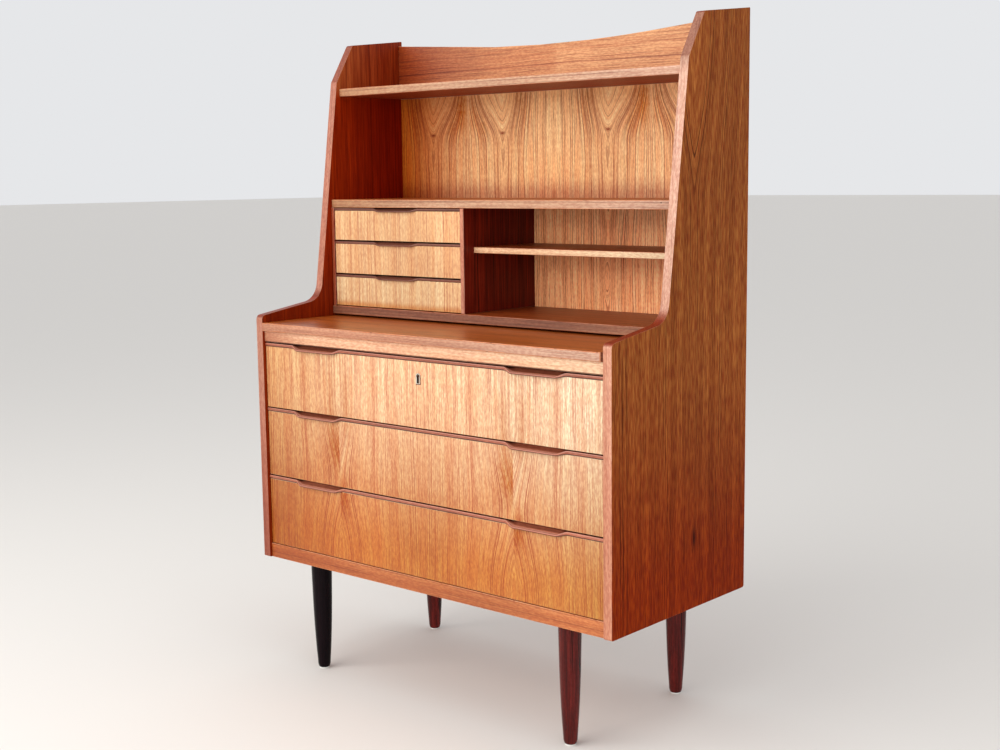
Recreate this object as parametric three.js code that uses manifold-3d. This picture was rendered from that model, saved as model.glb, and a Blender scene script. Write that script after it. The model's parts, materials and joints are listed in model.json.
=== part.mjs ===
// A teak secretary desk: a chest of three wide drawers on four round tapered legs, a writing slab
// that slides out above them, and a raked hutch with three small drawers, a cubby and open shelves.
// Millimetres, +Z up. Y runs from the front to the back.
import * as THREE from 'three';
import { mergeVertices } from 'three/addons/utils/BufferGeometryUtils.js';
import Module from 'manifold-3d';

const wasm = await Module();
wasm.setup();

// ---------------------------------------------------------------- driving dimensions
const CASE_WIDTH = 910;            // outside of the two side panels
const CASE_DEPTH = 425;            // front edge of a side panel to its back edge
const SIDE_THICKNESS = 18;
const SIDE_BOTTOM = 230;           // underside of the case above the floor
const FRONT_OVERHANG = 1;          // slab edge and drawer pulls ahead of the side panels
const GAP = 0.3;                   // between two fixed pieces that touch
const PAST = 1;                    // a cutting tool runs this far past the face it enters by

const SLAB_TOP = 725;              // writing height
const SLAB_THICKNESS = 17;
const SLAB_DEPTH = 400;
const SLAB_SIDE_PLAY = 4.8;        // at the slab's right end; its left end is nearly tight

const RAIL_FRONT = 5.5;            // front face of the two cross rails
const RAIL_THICKNESS = 20;
const UPPER_RAIL_BOTTOM = 685.5;
const PLINTH_TOP = 259.3;
const BED_THICKNESS = 6;
const BOTTOM_BOARD_THICKNESS = 18;
const BACK_PANEL_THICKNESS = 5;
const RABBET_DEPTH = 8;            // how far a back panel is let into each side

const HUTCH_FLOOR = { front: 197.8, bottom: 729.5, top: 746.5 };
const MIDDLE_SHELF = { front: 201.9, bottom: 956.2, top: 972.6 };
const TOP_SHELF = { front: 232.4, bottom: 1190.5, top: 1206.5 };
const CUBBY_SHELF = { front: 229, bottom: 867, top: 879 };
const CREST = { thickness: 11, middle: 1282.6, ends: 1306, nearPull: 0.34, farPull: 0.62, farRise: 9.5 };
const CHEEK_THICKNESS = 8;
const DIVIDER = { left: -64.5, thickness: 10, front: 200 };

const DRAWER_FACE = 7.5;           // front face of a large drawer
const DRAWER_FRONT_THICKNESS = 18;
const DRAWER_SIDE_GAP = 1;
const DRAWER_LEVELS = [            // bottom and top of each large drawer front, from the top
  { name: 'top', bottom: 550.3, top: 683 },
  { name: 'middle', bottom: 407.3, top: 547.8 },
  { name: 'bottom', bottom: 260.5, top: 404.8 },
];
const DRAWER_BOX = {
  wall: 12, length: 364, foot: 18, headroom: 16, floor: 5, floorUp: 6, groove: 5, backDrop: 6,
};
const RUNNER = { width: 15, height: 14, length: 372 };
const LARGE_PULL = {
  lip: 6.6, proud: 1.5, reach: 8.5, drop: 3.8, nose: 3.8, hollowBack: 14,
  flat: 48, blend: 24, centres: [-283.5, 283.5],
};

const SMALL_FACE = 202;            // front face of a small drawer
const SMALL_FRONT_THICKNESS = 12;
const SMALL_LEVELS = [
  { name: 'top', bottom: 887.6, top: 954.7 },
  { name: 'middle', bottom: 816.8, top: 884.6 },
  { name: 'bottom', bottom: 748.3, top: 813.8 },
];
const SMALL_TRAY = {
  wall: 7, length: 190, foot: 7, headroom: 10, floor: 4,
  ridgeUp: 24, ridgeHeight: 4, ridgeSetback: 2, grooveDepth: 3.5,
};
const SMALL_PULL = {
  lip: 5, proud: 1, reach: 6.5, drop: 2.6, nose: 2.8, hollowBack: 8.5,
  flat: 43.5, blend: 22, centres: [0],
};

const LEG = {
  x: 328, front: 46, back: 383, topRadius: 21.5, footRadius: 10.8, segments: 20,
  waist: [[12.3, 12], [15.4, 51], [17.6, 92], [19.4, 137]],   // radius and height of points between
};
const GLIDE = { radius: 9.8, height: 3 };
const LOCK = {
  width: 60, height: 42, thickness: 8, cover: 2, boltWidth: 20, boltThickness: 4, boltLength: 27,
  throw: 7, mortisePlay: 1, mortiseRoom: 1.5,
};
const KEYHOLE = { z: 648.6, radius: 2.75, slotWidth: 3.2, slotLength: 13 };
const ESCUTCHEON = { bottom: 632.6, width: 12.4, height: 21.6, thickness: 2, proud: 0.4 };

const OUTER = CASE_WIDTH / 2;
const INNER = OUTER - SIDE_THICKNESS;
const FITTED = INNER - GAP;        // half width of a board fitted between the sides
const BACK_FACE = CASE_DEPTH - BACK_PANEL_THICKNESS;
const FITTED_BACK = BACK_FACE - GAP;

// ---------------------------------------------------------------- colours
const material = (color, roughness, metalness = 0) =>
  new THREE.MeshStandardMaterial({ color, roughness, metalness });
const TEAK = material(0xb0693a, 0.45);
const TEAK_PALE = material(0xd29a63, 0.45);
const TEAK_EDGE = material(0xbf8a6a, 0.5);
const TEAK_DARK = material(0x8a4a25, 0.5);
const ROSEWOOD = material(0x3c1713, 0.35);
const BEECH = material(0xcaa983, 0.6);
const NYLON = material(0xe8e6e0, 0.5);
const STEEL = material(0x9a9a96, 0.35, 1);

// ---------------------------------------------------------------- shaping
const desk = new THREE.Group();
const frame = new THREE.Group();   // Y is measured from the side panels' front edges in here
frame.position.y = (FRONT_OVERHANG - CASE_DEPTH) / 2;
desk.add(frame);

function place(name, geometry, look) {
  const mesh = new THREE.Mesh(geometry, look);
  mesh.name = name;
  frame.add(mesh);
  return mesh;
}

function block([x0, x1], [y0, y1], [z0, z1]) {
  const geometry = new THREE.BoxGeometry(x1 - x0, y1 - y0, z1 - z0);
  return geometry.translate((x0 + x1) / 2, (y0 + y1) / 2, (z0 + z1) / 2);
}

function solid(geometry) {
  const bare = geometry.clone();
  bare.deleteAttribute('normal');
  bare.deleteAttribute('uv');
  const merged = mergeVertices(bare, 1e-4);
  return new wasm.Manifold(new wasm.Mesh({
    numProp: 3,
    vertProperties: new Float32Array(merged.attributes.position.array),
    triVerts: new Uint32Array(merged.index.array),
  }));
}

function surface(body) {
  const { vertProperties, triVerts } = body.getMesh();
  const geometry = new THREE.BufferGeometry();
  geometry.setAttribute('position', new THREE.BufferAttribute(vertProperties, 3));
  geometry.setIndex(new THREE.BufferAttribute(triVerts, 1));
  geometry.computeVertexNormals();
  return geometry;
}

const cut = (geometry, ...tools) =>
  surface(tools.reduce((body, tool) => body.subtract(solid(tool)), solid(geometry)));
const join = (geometry, ...more) =>
  surface(more.reduce((body, piece) => body.add(solid(piece)), solid(geometry)));

// A closed outline with a fillet of the given radius at each corner [u, v, radius].
function filletedShape(corners) {
  const shape = new THREE.Shape();
  corners.forEach(([u, v, radius], i) => {
    const corner = new THREE.Vector2(u, v);
    const before = new THREE.Vector2(...corners.at(i - 1).slice(0, 2)).sub(corner).normalize();
    const after = new THREE.Vector2(...corners[(i + 1) % corners.length].slice(0, 2));
    after.sub(corner).normalize();
    const halfAngle = before.angleTo(after) / 2;
    const start = corner.clone().addScaledVector(before, radius / Math.tan(halfAngle));
    const end = corner.clone().addScaledVector(after, radius / Math.tan(halfAngle));
    const middle = before.clone().add(after).normalize();
    const centre = corner.clone().addScaledVector(middle, radius / Math.sin(halfAngle));
    const from = start.clone().sub(centre).angle();
    const to = end.clone().sub(centre).angle();
    if (i === 0) shape.moveTo(start.x, start.y);
    else shape.lineTo(start.x, start.y);
    shape.absarc(centre.x, centre.y, radius, from, to, before.cross(after) > 0);
  });
  shape.closePath();
  return shape;
}

// Extrudes a shape drawn in Y and Z along X.
function alongX(shape, x0, x1, curveSegments = 6) {
  const geometry = new THREE.ExtrudeGeometry(shape, { depth: x1 - x0, bevelEnabled: false, curveSegments });
  const [x, y, z] = [[1, 0, 0], [0, 1, 0], [0, 0, 1]].map((axis) => new THREE.Vector3(...axis));
  geometry.applyMatrix4(new THREE.Matrix4().makeBasis(y, z, x));
  return geometry.translate(x0, 0, 0);
}

// Extrudes a shape drawn in X and Z from the front y0 back to y1.
function alongY(shape, y0, y1, curveSegments = 6) {
  const geometry = new THREE.ExtrudeGeometry(shape, { depth: y1 - y0, bevelEnabled: false, curveSegments });
  return geometry.rotateX(Math.PI / 2).translate(0, y1, 0);
}

// ---------------------------------------------------------------- case
// Side panel: upright front, a shoulder that rises gently, a sweep up into the raked hutch edge,
// a chamfered top corner and a top edge that climbs to the back.
const SIDE_OUTLINE = [
  [0, SIDE_BOTTOM, 3],
  [CASE_DEPTH, SIDE_BOTTOM, 5],
  [CASE_DEPTH, 1317, 2],
  [274.7, 1299.8, 8],
  [225.8, 1219.6, 15],
  [164, 763.1, 42],
  [0, 739.5, 10],
];

function sidePanel(name, side) {
  const [x0, x1] = side < 0 ? [-OUTER, -INNER] : [INNER, OUTER];
  const [r0, r1] = side < 0 ? [-INNER - RABBET_DEPTH, -INNER + PAST] : [INNER - PAST, INNER + RABBET_DEPTH];
  const rabbet = block([r0, r1], [BACK_FACE - GAP, CASE_DEPTH + PAST],
    [SIDE_BOTTOM - PAST, TOP_SHELF.bottom]);
  place(name, cut(alongX(filletedShape(SIDE_OUTLINE), x0, x1), rabbet), TEAK);
}
sidePanel('side_left', -1);
sidePanel('side_right', 1);

const RAIL_BACK = RAIL_FRONT + RAIL_THICKNESS;
place('bottom_board', block([-FITTED, FITTED], [RAIL_BACK + GAP, FITTED_BACK],
  [SIDE_BOTTOM + GAP, SIDE_BOTTOM + BOTTOM_BOARD_THICKNESS]), TEAK_DARK);
place('plinth_rail', block([-FITTED, FITTED], [RAIL_FRONT, RAIL_BACK],
  [SIDE_BOTTOM, PLINTH_TOP]), TEAK_EDGE);

const SLAB_BOTTOM = SLAB_TOP - SLAB_THICKNESS;
const UPPER_RAIL_TOP = SLAB_BOTTOM - GAP;
const BOLT_BACK = DRAWER_FACE + DRAWER_FRONT_THICKNESS - LOCK.cover;
const BOLT_FRONT = BOLT_BACK - LOCK.boltThickness;
const MORTISE_HALF = LOCK.boltWidth / 2 + LOCK.mortisePlay;
const mortise = block([-MORTISE_HALF, MORTISE_HALF],
  [BOLT_FRONT - LOCK.mortisePlay, BOLT_BACK + LOCK.mortisePlay],
  [UPPER_RAIL_BOTTOM - PAST, UPPER_RAIL_BOTTOM + LOCK.throw + LOCK.mortiseRoom]);
place('upper_rail', cut(block([-FITTED, FITTED], [RAIL_FRONT, RAIL_BACK],
  [UPPER_RAIL_BOTTOM, UPPER_RAIL_TOP]), mortise), TEAK_EDGE);
place('slab_bed', block([-FITTED, FITTED], [RAIL_BACK + GAP, FITTED_BACK],
  [UPPER_RAIL_TOP - BED_THICKNESS, UPPER_RAIL_TOP]), BEECH);

const BACK_SPLIT = (HUTCH_FLOOR.bottom + HUTCH_FLOOR.top) / 2;
const BACK_HALF_WIDTH = INNER + RABBET_DEPTH - GAP;
place('back_panel_lower', block([-BACK_HALF_WIDTH, BACK_HALF_WIDTH], [BACK_FACE, CASE_DEPTH],
  [SIDE_BOTTOM + GAP, BACK_SPLIT - GAP]), TEAK_DARK);
place('back_panel_upper', block([-BACK_HALF_WIDTH, BACK_HALF_WIDTH], [BACK_FACE, CASE_DEPTH],
  [BACK_SPLIT, TOP_SHELF.bottom - GAP]), TEAK);

// ---------------------------------------------------------------- hutch
const shelfBoard = (name, { front, bottom, top }, back = FITTED_BACK) =>
  place(name, block([-FITTED, FITTED], [front, back], [bottom, top]), TEAK_EDGE);
const CREST_FRONT = CASE_DEPTH - CREST.thickness;
shelfBoard('hutch_floor', HUTCH_FLOOR);
shelfBoard('middle_shelf', MIDDLE_SHELF);
shelfBoard('top_shelf', TOP_SHELF, CREST_FRONT - GAP);

// Crest rail: a board on edge whose top dips in a long even curve between the sides.
function crestRail() {
  const shape = new THREE.Shape();
  shape.moveTo(-FITTED, TOP_SHELF.bottom);
  shape.lineTo(FITTED, TOP_SHELF.bottom);
  shape.lineTo(FITTED, CREST.ends);
  const [near, far, rise] = [FITTED * CREST.nearPull, FITTED * CREST.farPull, CREST.middle + CREST.farRise];
  shape.bezierCurveTo(far, rise, near, CREST.middle, 0, CREST.middle);
  shape.bezierCurveTo(-near, CREST.middle, -far, rise, -FITTED, CREST.ends);
  shape.closePath();
  place('crest_rail', alongY(shape, CREST_FRONT, CASE_DEPTH, 14), TEAK);
}
crestRail();

// Cheek and divider stand between two shelves. Each carries three ridges that the small drawers
// hang on by a groove in each side.
const STAND = [HUTCH_FLOOR.top + GAP, MIDDLE_SHELF.bottom - GAP];
const NICHE_LEFT = -INNER + CHEEK_THICKNESS;
const SMALL_BACK = SMALL_FACE + SMALL_FRONT_THICKNESS;
const RIDGE_REACH = DRAWER_SIDE_GAP + SMALL_TRAY.grooveDepth - GAP;
const ridgeBottom = (level) => level.bottom + SMALL_TRAY.ridgeUp;
const ridges = (x0, x1) => SMALL_LEVELS.map((level) => block([x0, x1],
  [SMALL_BACK + SMALL_TRAY.ridgeSetback, SMALL_BACK + SMALL_TRAY.length],
  [ridgeBottom(level), ridgeBottom(level) + SMALL_TRAY.ridgeHeight]));
place('drawer_cheek', join(block([-FITTED, NICHE_LEFT], [DIVIDER.front, FITTED_BACK], STAND),
  ...ridges(NICHE_LEFT - PAST, NICHE_LEFT + RIDGE_REACH)), TEAK_EDGE);
place('divider', join(block([DIVIDER.left, DIVIDER.left + DIVIDER.thickness], [DIVIDER.front, FITTED_BACK],
  STAND), ...ridges(DIVIDER.left - RIDGE_REACH, DIVIDER.left + PAST)), TEAK_EDGE);
place('cubby_shelf', block([DIVIDER.left + DIVIDER.thickness + GAP, FITTED],
  [CUBBY_SHELF.front, FITTED_BACK], [CUBBY_SHELF.bottom, CUBBY_SHELF.top]), TEAK_EDGE);

// ---------------------------------------------------------------- legs
function leg(name, x, y) {
  const waist = new THREE.SplineCurve([
    [LEG.footRadius, GLIDE.height + GAP], ...LEG.waist, [LEG.topRadius, SIDE_BOTTOM],
  ].map((point) => new THREE.Vector2(...point)));
  const bottom = new THREE.Vector2(0, GLIDE.height + GAP);
  const top = new THREE.Vector2(0, SIDE_BOTTOM);
  const profile = [bottom, ...waist.getPoints(10), top];
  const mesh = place(`leg_${name}`, new THREE.LatheGeometry(profile, LEG.segments), ROSEWOOD);
  mesh.rotation.x = Math.PI / 2;
  mesh.position.set(x, y, 0);
  const glide = place(`glide_${name}`, new THREE.CylinderGeometry(GLIDE.radius, GLIDE.radius, GLIDE.height,
    LEG.segments), NYLON);
  glide.rotation.x = Math.PI / 2;
  glide.position.set(x, y, GLIDE.height / 2);
}
leg('front_left', -LEG.x, LEG.front);
leg('front_right', LEG.x, LEG.front);
leg('back_left', -LEG.x, LEG.back);
leg('back_right', LEG.x, LEG.back);

// ---------------------------------------------------------------- writing slab
place('writing_slab', block([-FITTED, INNER - SLAB_SIDE_PLAY], [-FRONT_OVERHANG, SLAB_DEPTH],
  [SLAB_BOTTOM, SLAB_TOP]), TEAK);

// ---------------------------------------------------------------- drawer pulls
// Section of a pull strip, as [y, z] from the drawer's face and the strip's underside. At share 0
// it is a flat lip; at share 1 a nose reaches out and down, with a finger hollow behind it.
function pullSection(pull, depth, share) {
  const mix = (lip, nose) => lip + (nose - lip) * share;
  const chamfer = pull.proud * 0.4;
  const front = -mix(pull.proud, pull.reach);
  const nose = mix(0, -pull.drop);
  const noseTop = mix(pull.lip, pull.nose - pull.drop);
  const hollow = (toward, height) => [
    front + chamfer + (pull.hollowBack - front - chamfer) * toward,
    mix(pull.lip, height),
  ];
  return [
    [depth, 0],
    [-GAP, 0],
    [-mix(GAP * 1.5, GAP), mix(0, -pull.drop * 0.6)],
    [front + chamfer, nose],
    [front, nose + chamfer],
    [front, noseTop - chamfer],
    [front + chamfer, noseTop],
    hollow(0.3, -pull.drop * 0.25),
    hollow(0.55, pull.lip * 0.22),
    hollow(0.8, pull.lip * 0.6),
    [pull.hollowBack, pull.lip],
    [depth, pull.lip],
  ];
}

// Skins a closed strip through sections that stand at stations along X.
function skin(stations, sections) {
  const ring = sections[0].length;
  const positions = stations.flatMap((x, i) => sections[i].flatMap(([y, z]) => [x, y, z]));
  const index = [];
  for (let i = 0; i < stations.length - 1; i += 1) {
    for (let j = 0; j < ring; j += 1) {
      const [a, b] = [i * ring + j, i * ring + (j + 1) % ring];
      index.push(a, a + ring, b, b, a + ring, b + ring);
    }
  }
  for (const [station, flip] of [[0, false], [stations.length - 1, true]]) {
    const centre = positions.length / 3;
    const mean = (axis) => sections[station].reduce((sum, point) => sum + point[axis], 0) / ring;
    positions.push(stations[station], mean(0), mean(1));
    for (let j = 0; j < ring; j += 1) {
      const [a, b] = [station * ring + j, station * ring + (j + 1) % ring];
      index.push(centre, ...(flip ? [b, a] : [a, b]));
    }
  }
  const geometry = new THREE.BufferGeometry();
  geometry.setAttribute('position', new THREE.Float32BufferAttribute(positions, 3));
  geometry.setIndex(index);
  geometry.computeVertexNormals();
  return geometry;
}

function pullStrip(pull, halfWidth, depth) {
  const steps = 6;
  const ease = (t) => t * t * (3 - 2 * t);
  const stations = [-halfWidth];
  const shares = [0];
  for (const centre of pull.centres) {
    for (const end of [-1, 1]) {
      for (let i = 0; i <= steps; i += 1) {
        const inward = end < 0 ? i / steps : 1 - i / steps;
        stations.push(centre + end * (pull.flat + pull.blend * (1 - inward)));
        shares.push(ease(inward));
      }
    }
  }
  stations.push(halfWidth);
  shares.push(0);
  return skin(stations, shares.map((share) => pullSection(pull, depth, share)));
}

// ---------------------------------------------------------------- large drawers
const FRONT_HALF = INNER - DRAWER_SIDE_GAP;
const FRONT_BACK = DRAWER_FACE + DRAWER_FRONT_THICKNESS;
const LOCK_TOP = DRAWER_LEVELS[0].top - GAP;
const LOCK_SPAN = [-LOCK.width / 2, LOCK.width / 2];
const lockPocket = block([LOCK_SPAN[0] - GAP, LOCK_SPAN[1] + GAP],
  [FRONT_BACK - LOCK.thickness - GAP, FRONT_BACK + PAST],
  [LOCK_TOP - LOCK.height - GAP, LOCK_TOP + GAP + PAST]);

function keyholeCut(y0, y1) {
  const shape = new THREE.Shape();
  const half = KEYHOLE.slotWidth / 2;
  const lean = Math.asin(half / KEYHOLE.radius);
  shape.moveTo(-half, KEYHOLE.z - KEYHOLE.slotLength);
  shape.lineTo(half, KEYHOLE.z - KEYHOLE.slotLength);
  shape.absarc(0, KEYHOLE.z, KEYHOLE.radius, lean - Math.PI / 2, Math.PI * 1.5 - lean, false);
  shape.closePath();
  return alongY(shape, y0, y1, 14);
}

// The escutcheon's outline: a flat foot and a round top.
function archShape(margin) {
  const half = ESCUTCHEON.width / 2 + margin;
  const shape = new THREE.Shape();
  shape.moveTo(-half, ESCUTCHEON.bottom - margin);
  shape.lineTo(half, ESCUTCHEON.bottom - margin);
  shape.absarc(0, ESCUTCHEON.bottom + ESCUTCHEON.height - ESCUTCHEON.width / 2, half, 0, Math.PI, false);
  shape.closePath();
  return shape;
}
const ESCUTCHEON_BACK = DRAWER_FACE - ESCUTCHEON.proud + ESCUTCHEON.thickness;
const plateRecess = alongY(archShape(GAP), DRAWER_FACE - PAST, ESCUTCHEON_BACK + GAP, 10);
place('escutcheon', cut(alongY(archShape(0), DRAWER_FACE - ESCUTCHEON.proud, ESCUTCHEON_BACK, 10),
  keyholeCut(DRAWER_FACE - PAST, ESCUTCHEON_BACK + PAST)), STEEL);

// Panels of a drawer box: grooved sides, a back above the floor, and a thin floor in the grooves.
function largeDrawer({ name, bottom, top }) {
  const prefix = `${name}_drawer`;
  const stripBottom = top - LARGE_PULL.lip;
  const locked = name === 'top';
  const panel = block([-FRONT_HALF, FRONT_HALF], [DRAWER_FACE, FRONT_BACK], [bottom, stripBottom - GAP]);
  const strip = pullStrip(LARGE_PULL, FRONT_HALF, DRAWER_FRONT_THICKNESS);
  strip.translate(0, DRAWER_FACE, stripBottom);
  const lockCuts = [lockPocket, plateRecess, keyholeCut(DRAWER_FACE - PAST, FRONT_BACK)];
  place(`${prefix}_front`, locked ? cut(panel, ...lockCuts) : panel, TEAK_PALE);
  place(`${prefix}_pull`, locked ? cut(strip, lockPocket) : strip, TEAK_EDGE);

  const [boxBottom, boxTop] = [bottom + DRAWER_BOX.foot, top - DRAWER_BOX.headroom];
  const [boxFront, boxBack] = [FRONT_BACK + GAP, FRONT_BACK + DRAWER_BOX.length];
  const floor = [boxBottom + DRAWER_BOX.floorUp, boxBottom + DRAWER_BOX.floorUp + DRAWER_BOX.floor];
  const wallInner = FRONT_HALF - DRAWER_BOX.wall;
  const grooveOuter = wallInner + DRAWER_BOX.groove;
  for (const [side, sign] of [['left', -1], ['right', 1]]) {
    const span = (a, b) => [sign * a, sign * b].sort((p, q) => p - q);
    const groove = block(span(wallInner - PAST, grooveOuter), [boxFront - PAST, boxBack + PAST],
      [floor[0] - GAP, floor[1] + GAP]);
    place(`${prefix}_side_${side}`,
      cut(block(span(wallInner, FRONT_HALF), [boxFront, boxBack], [boxBottom, boxTop]), groove), BEECH);
    place(`${name}_runner_${side}`, block(span(INNER - RUNNER.width, FITTED),
      [RAIL_BACK + GAP, RAIL_BACK + RUNNER.length],
      [boxBottom - GAP - RUNNER.height, boxBottom - GAP]), BEECH);
  }
  place(`${prefix}_back`, block([-wallInner + GAP, wallInner - GAP], [boxBack - DRAWER_BOX.wall, boxBack],
    [floor[1] + GAP, boxTop - DRAWER_BOX.backDrop]), BEECH);
  place(`${prefix}_floor`,
    block([-grooveOuter + GAP, grooveOuter - GAP], [boxFront, boxBack], floor), BEECH);
}
DRAWER_LEVELS.forEach(largeDrawer);

// ---------------------------------------------------------------- lock in the top drawer
const BOLT_TOP = LOCK_TOP - GAP;
const boltSlot = block([-LOCK.boltWidth / 2 - GAP, LOCK.boltWidth / 2 + GAP],
  [BOLT_FRONT - GAP, BOLT_BACK + GAP], [BOLT_TOP - LOCK.boltLength - GAP, LOCK_TOP + PAST]);
place('lock_case', cut(block(LOCK_SPAN, [FRONT_BACK - LOCK.thickness, FRONT_BACK],
  [LOCK_TOP - LOCK.height, LOCK_TOP]), boltSlot, keyholeCut(DRAWER_FACE, BOLT_FRONT)), STEEL);
place('lock_bolt', block([-LOCK.boltWidth / 2, LOCK.boltWidth / 2], [BOLT_FRONT, BOLT_BACK],
  [BOLT_TOP - LOCK.boltLength, BOLT_TOP]), STEEL);

// ---------------------------------------------------------------- small drawers
// A small drawer's tray is one thin box with a groove along each side.
function smallDrawer(level) {
  const { name, bottom, top } = level;
  const prefix = `small_${name}_drawer`;
  const [left, right] = [NICHE_LEFT + DRAWER_SIDE_GAP, DIVIDER.left - DRAWER_SIDE_GAP];
  const [centre, half] = [(left + right) / 2, (right - left) / 2];
  const stripBottom = top - SMALL_PULL.lip;
  place(`${prefix}_front`,
    block([left, right], [SMALL_FACE, SMALL_BACK], [bottom, stripBottom - GAP]), TEAK_PALE);
  const strip = pullStrip(SMALL_PULL, half, SMALL_FRONT_THICKNESS);
  place(`${prefix}_pull`, strip.translate(centre, SMALL_FACE, stripBottom), TEAK_DARK);

  const [trayFront, trayBack] = [SMALL_BACK + GAP, SMALL_BACK + SMALL_TRAY.length];
  const floorBottom = bottom + SMALL_TRAY.foot;
  const hollow = block([left + SMALL_TRAY.wall, right - SMALL_TRAY.wall],
    [trayFront + SMALL_TRAY.wall, trayBack - SMALL_TRAY.wall], [floorBottom + SMALL_TRAY.floor, top]);
  const groove = (x0, x1) => block([x0, x1], [trayFront - PAST, trayBack + PAST],
    [ridgeBottom(level) - GAP, ridgeBottom(level) + SMALL_TRAY.ridgeHeight + GAP]);
  place(`${prefix}_tray`, cut(
    block([left, right], [trayFront, trayBack], [floorBottom, top - SMALL_TRAY.headroom]), hollow,
    groove(left - PAST, left + SMALL_TRAY.grooveDepth), groove(right - SMALL_TRAY.grooveDepth, right + PAST),
  ), BEECH);
}
SMALL_LEVELS.forEach(smallDrawer);

export default desk;
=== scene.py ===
"""Looks for the teak secretary desk: wood, metal and nylon materials, finely shaped pieces that
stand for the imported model's plain solids, a pale floor, soft light and the camera. Metres, +Z up."""

import json
import math

import bmesh
import bpy
from mathutils import Matrix, Vector


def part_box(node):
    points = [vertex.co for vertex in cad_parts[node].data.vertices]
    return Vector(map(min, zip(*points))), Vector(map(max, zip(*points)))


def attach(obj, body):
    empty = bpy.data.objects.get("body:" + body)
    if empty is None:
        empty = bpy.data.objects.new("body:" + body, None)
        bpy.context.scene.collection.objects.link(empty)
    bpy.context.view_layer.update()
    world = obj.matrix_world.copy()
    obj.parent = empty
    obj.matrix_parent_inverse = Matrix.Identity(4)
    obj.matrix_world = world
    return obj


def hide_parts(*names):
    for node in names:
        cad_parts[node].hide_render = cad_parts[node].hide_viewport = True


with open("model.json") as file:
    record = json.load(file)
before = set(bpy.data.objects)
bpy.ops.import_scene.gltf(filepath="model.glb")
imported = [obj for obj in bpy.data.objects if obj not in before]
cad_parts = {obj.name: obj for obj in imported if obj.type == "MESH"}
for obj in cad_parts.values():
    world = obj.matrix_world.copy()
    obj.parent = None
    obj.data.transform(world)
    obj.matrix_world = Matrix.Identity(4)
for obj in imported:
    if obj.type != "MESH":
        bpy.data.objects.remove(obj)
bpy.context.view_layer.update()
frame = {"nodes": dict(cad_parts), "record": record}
MM = 0.001
AXES = "XYZ"
WELD = 2e-6             # vertices nearer than this are one
CREASE = math.radians(50)   # skinned and turned pieces stay smooth below this angle


# ---------------------------------------------------------------- shader graph helper
class Graph:
    """Builds one material's nodes with short calls. A value is a number, a colour or a socket."""

    def __init__(self, name):
        self.material = bpy.data.materials.new(name)
        self.material.use_nodes = True
        self.tree = self.material.node_tree
        self.tree.nodes.clear()
        self.shader = self.tree.nodes.new("ShaderNodeBsdfPrincipled")
        output = self.tree.nodes.new("ShaderNodeOutputMaterial")
        self.tree.links.new(self.shader.outputs["BSDF"], output.inputs["Surface"])

    def put(self, value, socket):
        if isinstance(value, bpy.types.NodeSocket):
            self.tree.links.new(value, socket)
        else:
            socket.default_value = value

    def place(self):
        """The three object coordinates as sockets, by axis letter."""
        coordinates = self.tree.nodes.new("ShaderNodeTexCoord")
        split = self.tree.nodes.new("ShaderNodeSeparateXYZ")
        self.tree.links.new(coordinates.outputs["Object"], split.inputs[0])
        return {axis: split.outputs[axis] for axis in AXES}

    def facing(self):
        """The direction that the surface faces, by axis letter."""
        split = self.tree.nodes.new("ShaderNodeSeparateXYZ")
        self.put(self.tree.nodes.new("ShaderNodeNewGeometry").outputs["Normal"], split.inputs[0])
        return {axis: split.outputs[axis] for axis in AXES}

    def math(self, operation, *values, clamp=False):
        node = self.tree.nodes.new("ShaderNodeMath")
        node.operation = operation
        node.use_clamp = clamp
        for socket, value in zip(node.inputs, values):
            self.put(value, socket)
        return node.outputs[0]

    def scaled(self, value, factor, shift=0.0):
        return self.math("MULTIPLY_ADD", value, factor, shift)

    def vector(self, x, y, z):
        node = self.tree.nodes.new("ShaderNodeCombineXYZ")
        for socket, value in zip(node.inputs, (x, y, z)):
            self.put(value, socket)
        return node.outputs[0]

    def noise(self, at, detail=2.0, roughness=0.5):
        """Noise from 0 to 1 along one number or at a vector, with features about one unit long."""
        node = self.tree.nodes.new("ShaderNodeTexNoise")
        linear = at.type == "VALUE"
        node.noise_dimensions = "1D" if linear else "3D"
        self.put(at, node.inputs["W" if linear else "Vector"])
        node.inputs["Scale"].default_value = 1.0
        node.inputs["Detail"].default_value = detail
        node.inputs["Roughness"].default_value = roughness
        return node.outputs["Fac"]

    def even_noise(self, place, scale, shift=0.0, detail=3.0, roughness=0.5):
        """Noise that is alike in all directions, with so many features to the metre."""
        at = self.vector(*(self.scaled(place[axis], scale, shift) for axis in AXES))
        return self.noise(at, detail=detail, roughness=roughness)

    def window(self, value, low, high, start=0.0, end=1.0):
        """Maps low..high smoothly onto start..end and holds it outside."""
        node = self.tree.nodes.new("ShaderNodeMapRange")
        node.interpolation_type = "SMOOTHSTEP"
        for socket, number in zip(node.inputs, (value, low, high, start, end)):
            self.put(number, socket)
        return node.outputs[0]

    def mix(self, share, first, second, blend="MIX"):
        node = self.tree.nodes.new("ShaderNodeMix")
        node.data_type = "RGBA"
        node.blend_type = blend
        self.put(share, node.inputs["Factor"])
        for value, socket in ((first, node.inputs["A"]), (second, node.inputs["B"])):
            self.put((*value, 1.0) if isinstance(value, tuple) else value, socket)
        return next(o for o in node.outputs if o.type == "RGBA")

    def bump(self, height, distance, strength=1.0):
        node = self.tree.nodes.new("ShaderNodeBump")
        node.inputs["Strength"].default_value = strength
        node.inputs["Distance"].default_value = distance
        self.put(height, node.inputs["Height"])
        self.tree.links.new(node.outputs["Normal"], self.shader.inputs["Normal"])

    def finish(self, colour, roughness, metallic=0.0):
        self.put((*colour, 1.0) if isinstance(colour, tuple) else colour, self.shader.inputs["Base Color"])
        self.put(roughness, self.shader.inputs["Roughness"])
        self.shader.inputs["Metallic"].default_value = metallic
        return self.material


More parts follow.
